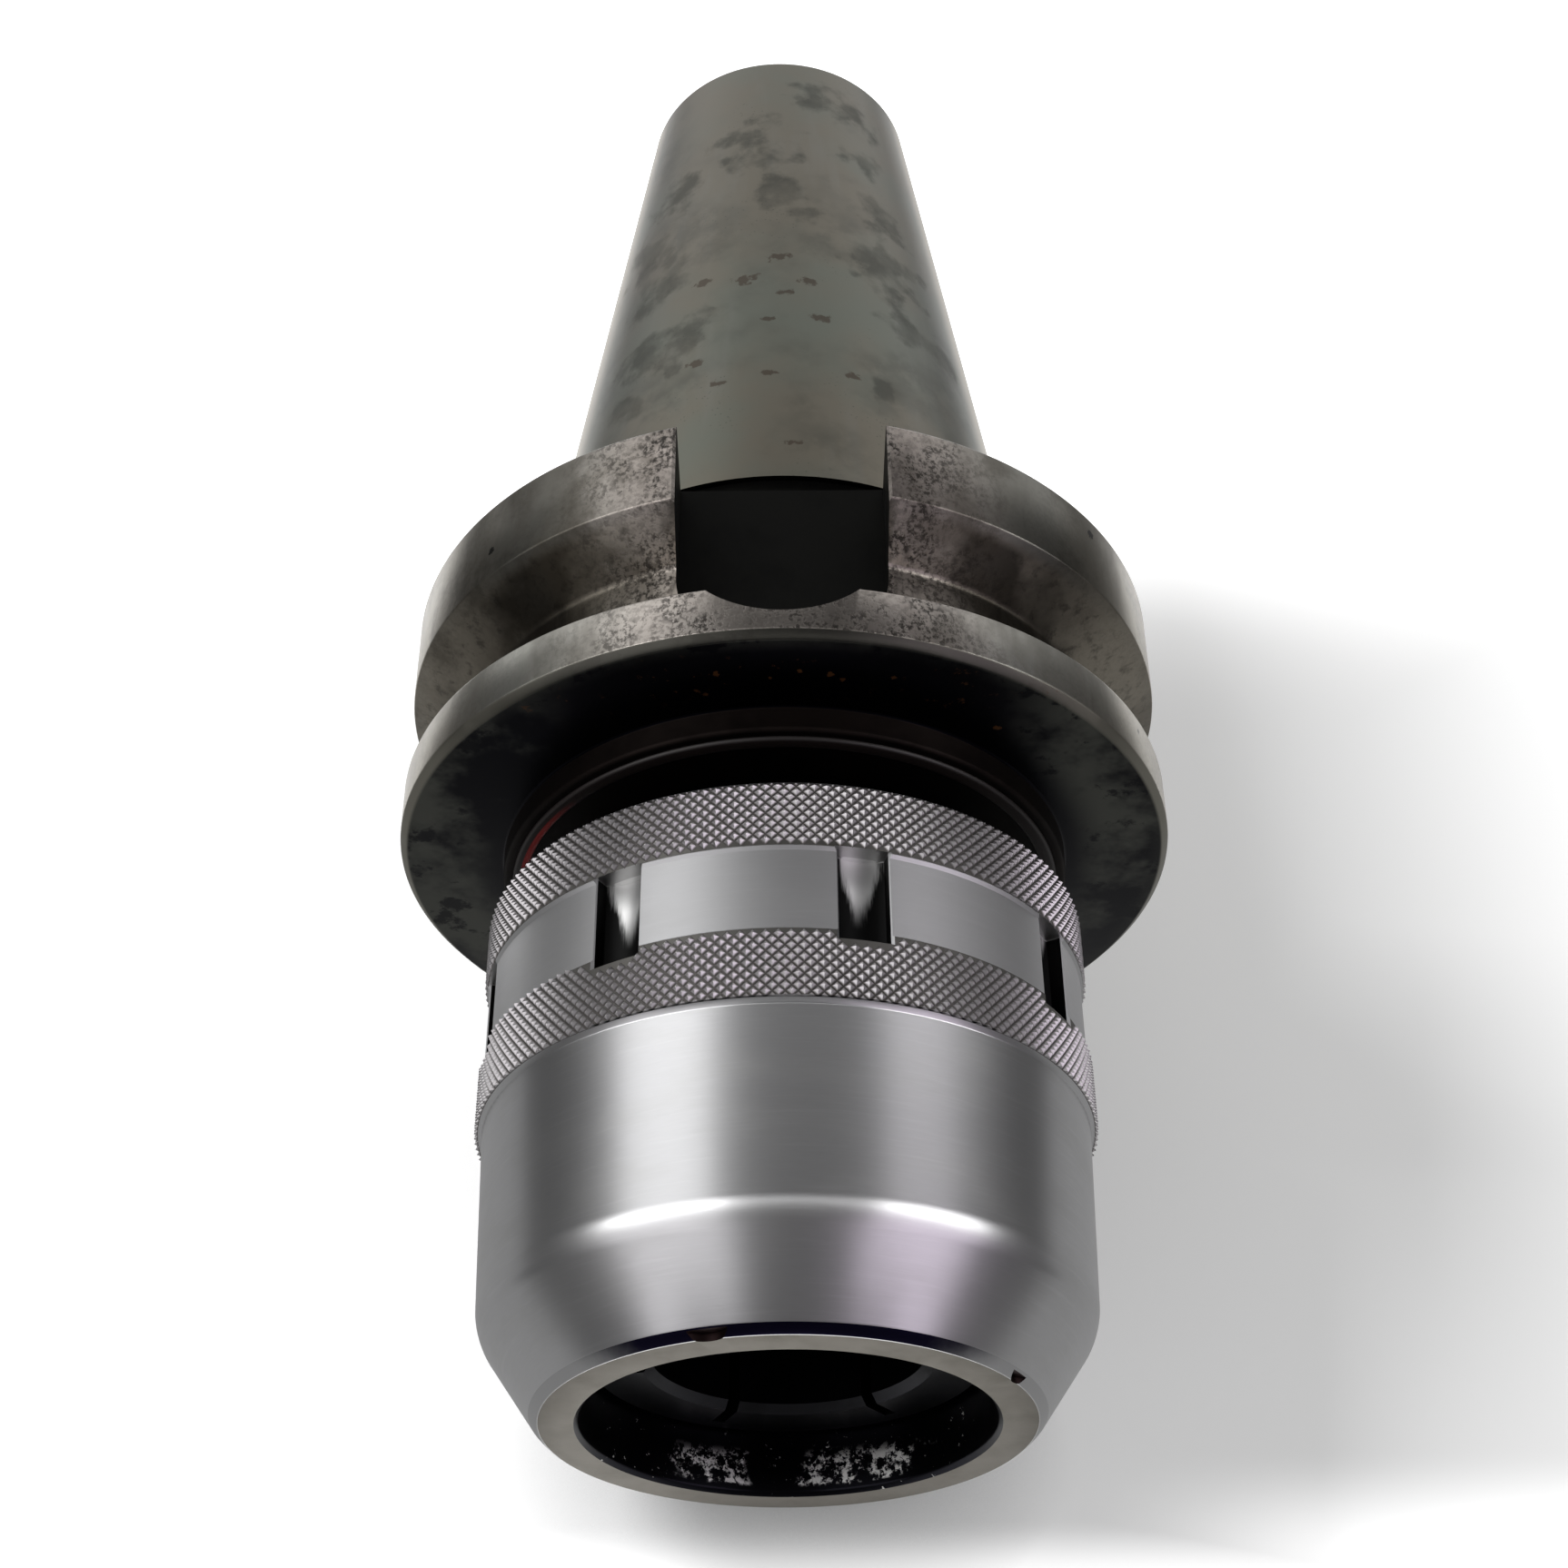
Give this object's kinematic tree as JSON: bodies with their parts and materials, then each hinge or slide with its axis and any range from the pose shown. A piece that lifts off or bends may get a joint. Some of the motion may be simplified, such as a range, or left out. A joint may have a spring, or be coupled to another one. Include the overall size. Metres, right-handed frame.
{
  "type": "roller-lock milling chuck with a steep taper",
  "caption": "Steep-taper milling chuck with a V-grooved flange, opposed key slots and a knurled, cone-nosed clamping nut over a slit sleeve.",
  "frame": {"origin": "centre of the clamping nut's end face, on the axis of rotation; the chuck stands on that face with the nut fully open", "axes": "+Z along the axis from the nut's nose to the small end of the taper; the two key slots face -Y and +Y"},
  "size_m": [0.1, 0.1, 0.2145],
  "materials": {
    "arbor_steel": "hardened and ground, stained",
    "nut_steel": "satin",
    "spring_steel": "blued",
    "red_rubber": "matte",
    "black_rubber": "matte",
    "cage_brass": "machined",
    "roller_steel": "polished"
  },
  "bodies": {
    "arbor": {"arbor": "arbor_steel", "rear_seal_ring": "red_rubber", "sleeve_stop_ring": "spring_steel"},
    "wiper": {"front_wiper_ring": "black_rubber"},
    "nut": {"clamping_nut": "nut_steel", "nut_retaining_ring": "spring_steel"},
    "cage": {"roller_cage": "cage_brass", "needle_roller_1_01": "roller_steel", "needle_roller_1_02": "roller_steel", "needle_roller_1_03": "roller_steel", "needle_roller_1_04": "roller_steel", "needle_roller_1_05": "roller_steel", "needle_roller_1_06": "roller_steel", "needle_roller_1_07": "roller_steel", "needle_roller_1_08": "roller_steel", "needle_roller_1_09": "roller_steel", "needle_roller_1_10": "roller_steel", "needle_roller_1_11": "roller_steel", "needle_roller_1_12": "roller_steel", "needle_roller_2_01": "roller_steel", "needle_roller_2_02": "roller_steel", "needle_roller_2_03": "roller_steel", "needle_roller_2_04": "roller_steel", "needle_roller_2_05": "roller_steel", "needle_roller_2_06": "roller_steel", "needle_roller_2_07": "roller_steel", "needle_roller_2_08": "roller_steel", "needle_roller_2_09": "roller_steel", "needle_roller_2_10": "roller_steel", "needle_roller_2_11": "roller_steel", "needle_roller_2_12": "roller_steel"}
  },
  "joints": [
    {"name": "nut_advance", "type": "slide", "parent": "arbor", "child": "wiper", "axis": [0, 0, 1], "range_m": [0, 0.0063]},
    {"name": "nut_turn", "type": "hinge", "parent": "wiper", "child": "nut", "pos_m": [0, 0, 0.03], "axis": [0, 0, 1], "range_deg": [0, 630.1]},
    {"name": "cage_turn", "type": "hinge", "parent": "arbor", "child": "cage", "pos_m": [0, 0, 0.042], "axis": [0, 0, 1], "range_deg": [0, 338.3]}
  ],
  "couplings": [
    {"joint": "nut_turn", "follows": "nut_advance", "rad_per_m": 1745.3},
    {"joint": "cage_turn", "follows": "nut_advance", "rad_per_m": 936.98}
  ]
}
